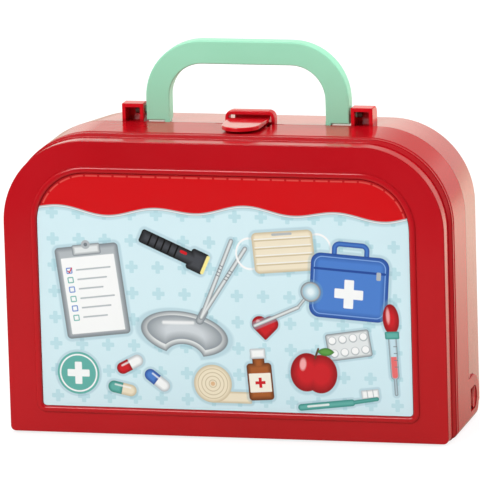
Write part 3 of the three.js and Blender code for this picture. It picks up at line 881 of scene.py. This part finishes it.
class CASE_OT_shells(bpy.types.Operator):
    """Dress the two moulded shells"""

    bl_idname = "case.shells"
    bl_label = "Shells"

    def execute(self, context):
        settings = context.scene.case_shell
        front = shell_plastic(settings, "front_red_gloss", moulded_slopes)
        rear = shell_plastic(settings, "rear_red_gloss", dished_stubs)
        dress("front_shell", front, settings.edge_round)
        dress("rear_shell", rear, settings.edge_round)
        return {"FINISHED"}


class CASE_OT_latch(bpy.types.Operator):
    """Dress the latch tongue"""

    bl_idname = "case.latch"
    bl_label = "Latch tongue"

    def execute(self, context):
        settings = context.scene.case_shell
        red = shell_plastic(settings, "latch_red_gloss", coat=1.0)
        dress("latch_tongue", red, settings.edge_round * LATCH_ROUND)
        return {"FINISHED"}


class CASE_OT_handle(bpy.types.Operator):
    """Dress the carrying handle"""

    bl_idname = "case.handle"
    bl_label = "Handle"

    def execute(self, context):
        settings = context.scene.case_handle
        dress("handle", handle_plastic(settings), settings.edge_round)
        return {"FINISHED"}


class CASE_OT_card(bpy.types.Operator):
    """Print the card inside the bezel"""

    bl_idname = "case.card"
    bl_label = "Printed card"

    def execute(self, context):
        dress("label_card", card_print(context.scene.case_card), 0.0)
        return {"FINISHED"}


# Studio


def round_floor(reach):
    """Floor as a disc: radius times cosine and sine of the angle, on a grid of rings, level at zero.

    The rings lie closer together in the middle.
    """
    rings, spokes = 24, 96
    radius = reach * np.linspace(0.0, 1.0, rings + 1)[1:, None] ** 1.5
    angle = np.linspace(0.0, 2.0 * np.pi, spokes, endpoint=False)[None, :]
    grid = np.stack([radius * np.cos(angle), radius * np.sin(angle), np.zeros((rings, spokes))], -1)
    points = np.vstack([[[0.0, 0.0, 0.0]], grid.reshape(-1, 3)])
    spoke = np.arange(spokes)
    after = (spoke + 1) % spokes
    middle = np.stack([np.zeros(spokes, int), 1 + spoke, 1 + after], -1)
    start = 1 + np.arange(rings - 1)[:, None] * spokes
    quads = np.stack([start + spoke, start + spokes + spoke, start + spokes + after, start + after], -1)
    mesh = bpy.data.meshes.new("floor")
    mesh.from_pydata(points.tolist(), [], middle.tolist() + quads.reshape(-1, 4).tolist())
    floor = bpy.data.objects.new("floor", mesh)
    bpy.context.scene.collection.objects.link(floor)
    return floor


def floor_material():
    """Pale floor: white to the camera and darker in the object's shadow.

    The glossy walls see it dim just in front of the case, dark further on and bright behind, and darker
    again to the right and far away. The ramps give its brightness over the place on the floor, in metres.
    """
    board = Board.material("floor_pale")
    lit = board.node("ShaderNodeBsdfDiffuse", None, {"Color": FLOOR_LIT})
    dull = board.node("ShaderNodeBsdfDiffuse", None, {"Color": FLOOR_DULL})
    shown = board.mix_shaders(0.7, lit, board.glow(PURE_WHITE, 1.0))
    shown = board.node("ShaderNodeAddShader", None, {0: shown, 1: board.glow(PURE_WHITE, 0.1)})
    across, depth, _ = board.parts(board.place())
    # Dark beyond half a metre in front, dim up to the case
    near = board.ramp(depth, -0.62, -0.5, 0.03, 0.34)
    # Brighter with the distance behind it, and less so on the left
    behind = board.ramp(depth, 0.06, 0.5, 0.34, 0.84) * board.ramp(across, 0.15, 0.24, 0.74, 1.0)
    level = near + behind * board.ramp(depth, -0.04, 0.08)
    # Darker past a line that leans back to the right, and far away
    level = level * board.ramp(across - depth * 0.45, 0.25, 0.45, 1.0, 0.35)
    level = level * board.ramp(depth, 0.8, 1.8, 1.0, 0.64)
    other = board.mix_shaders(board.rays("Is Glossy Ray"), dull, board.glow(FLOOR_WHITE, level))
    return board.surface(board.mix_shaders(board.rays("Is Camera Ray"), other, shown))


def studio_world(ambient):
    """White to the camera. Reflections see a warm room: dark in front, bright behind, and brightest low
    down on the left.

    The ramps give its brightness over the three parts of the direction from the case.
    """
    world = bpy.data.worlds.new("studio")
    bpy.context.scene.world = world
    board = Board(world, "ShaderNodeOutputWorld")
    across, depth, height = board.parts(board.node("ShaderNodeTexCoord", out=0))
    # Bright behind and overhead, dark in front
    behind = board.ramp(depth + height * 0.7, -0.25, 0.3, 0.04, 1.0)
    # A bright strip above the horizon that ends quickly, then a slow fall to the top
    level = board.ramp(height, 0.02, 0.2, 1.04, 1.36) - board.ramp(height, 0.15, 0.235, 0.0, 0.64)
    level = level - board.ramp(height, 0.3, 1.0, 0.0, 0.44)
    # Darker on the right
    level = level * board.ramp(across, -0.2, 0.0, 1.0, 0.68)
    sky = "ShaderNodeBackground"
    seen, soft = board.glow(PURE_WHITE, 1.0, sky), board.glow(PURE_WHITE, ambient, sky)
    room = board.glow(ROOM_WHITE, behind * level, sky)
    other = board.mix_shaders(board.rays("Is Glossy Ray"), soft, room)
    board.surface(board.mix_shaders(board.rays("Is Camera Ray"), other, seen))


def soft_light(name, place, aim, size, power, gleam):
    """Square soft light at a place, turned to its aim. Gleam says whether reflections show it."""
    data = bpy.data.lights.new(name, "AREA")
    data.shape = "SQUARE"
    data.size = size
    data.energy = power
    lamp = bpy.data.objects.new(name, data)
    bpy.context.scene.collection.objects.link(lamp)
    lamp.location = place
    lamp.rotation_euler = (Vector(aim) - Vector(place)).to_track_quat("-Z", "Y").to_euler()
    lamp.visible_glossy = gleam


def photo_camera():
    """Camera at the photograph's angle, fitted to the case's outline: long lens, four metres away."""
    azimuth, elevation, roll = (math.radians(x) for x in (AZIMUTH, ELEVATION, ROLL))
    away = Vector((math.sin(azimuth) * math.cos(elevation), -math.cos(azimuth) * math.cos(elevation),
                   math.sin(elevation)))
    right = (-away).cross(Vector((0.0, 0.0, 1.0))).normalized()
    up = right.cross(-away)
    across = math.cos(roll) * right + math.sin(roll) * up
    upward = -math.sin(roll) * right + math.cos(roll) * up
    data = bpy.data.cameras.new("photo_camera")
    data.sensor_width = SENSOR_WIDTH
    data.lens = FOCAL_PIXELS / PHOTO_PIXELS * SENSOR_WIDTH
    data.clip_start, data.clip_end = 0.5, 50.0
    camera = bpy.data.objects.new("photo_camera", data)
    bpy.context.scene.collection.objects.link(camera)
    turn = Matrix((across, upward, away)).transposed().to_4x4()
    camera.matrix_world = Matrix.Translation(Vector(CAMERA_AIM) + CAMERA_DISTANCE * away) @ turn
    bpy.context.scene.camera = camera


class CASE_OT_stage(bpy.types.Operator):
    """Set up the floor, the light and the camera"""

    bl_idname = "case.stage"
    bl_label = "Studio"

    def execute(self, context):
        settings = context.scene.case_stage
        floor = round_floor(settings.floor_reach)
        floor.data.materials.append(floor_material())
        studio_world(settings.ambient)
        for name, place, size, gleam in LAMPS:
            soft_light(name, place, LAMP_AIM, size, getattr(settings, f"{name}_power"), gleam)
        photo_camera()
        context.scene.view_settings.view_transform = "Standard"
        return {"FINISHED"}


class CASE_PT_panel(bpy.types.Panel):
    """Lists the settings and the steps that dress the case"""

    bl_idname = "CASE_PT_panel"
    bl_label = "Doctor case"
    bl_space_type = "VIEW_3D"
    bl_region_type = "UI"
    bl_category = "Doctor case"

    def draw(self, context):
        scene = context.scene
        for title, settings, steps in (
                ("Shells", scene.case_shell, ("case.shells", "case.latch")),
                ("Handle", scene.case_handle, ("case.handle",)),
                ("Card", scene.case_card, ("case.card",)),
                ("Studio", scene.case_stage, ("case.stage",))):
            box = self.layout.box()
            box.label(text=title)
            for name in settings.__annotations__:
                box.prop(settings, name)
            for step in steps:
                box.operator(step)


SETTINGS = {
    "case_shell": CaseShellSettings,
    "case_handle": CaseHandleSettings,
    "case_card": CaseCardSettings,
    "case_stage": CaseStageSettings,
}
OPERATORS = (CASE_OT_shells, CASE_OT_latch, CASE_OT_handle, CASE_OT_card, CASE_OT_stage)


def register():
    """Makes the settings, the steps and the panel known to Blender."""
    for group in SETTINGS.values():
        bpy.utils.register_class(group)
    for name, group in SETTINGS.items():
        setattr(bpy.types.Scene, name, bpy.props.PointerProperty(type=group))
    for operator in OPERATORS:
        bpy.utils.register_class(operator)
    bpy.utils.register_class(CASE_PT_panel)


def unregister():
    """Takes back what register did, last first."""
    bpy.utils.unregister_class(CASE_PT_panel)
    for operator in reversed(OPERATORS):
        bpy.utils.unregister_class(operator)
    for name in SETTINGS:
        delattr(bpy.types.Scene, name)
    for group in reversed(SETTINGS.values()):
        bpy.utils.unregister_class(group)


def main():
    """Registers the add-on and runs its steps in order."""
    register()
    for operator in OPERATORS:
        group, step = operator.bl_idname.split(".")
        result = getattr(getattr(bpy.ops, group), step)()
        if result != {"FINISHED"}:
            raise RuntimeError(f"{operator.bl_label} did not finish")


if __name__ == "__main__":
    main()
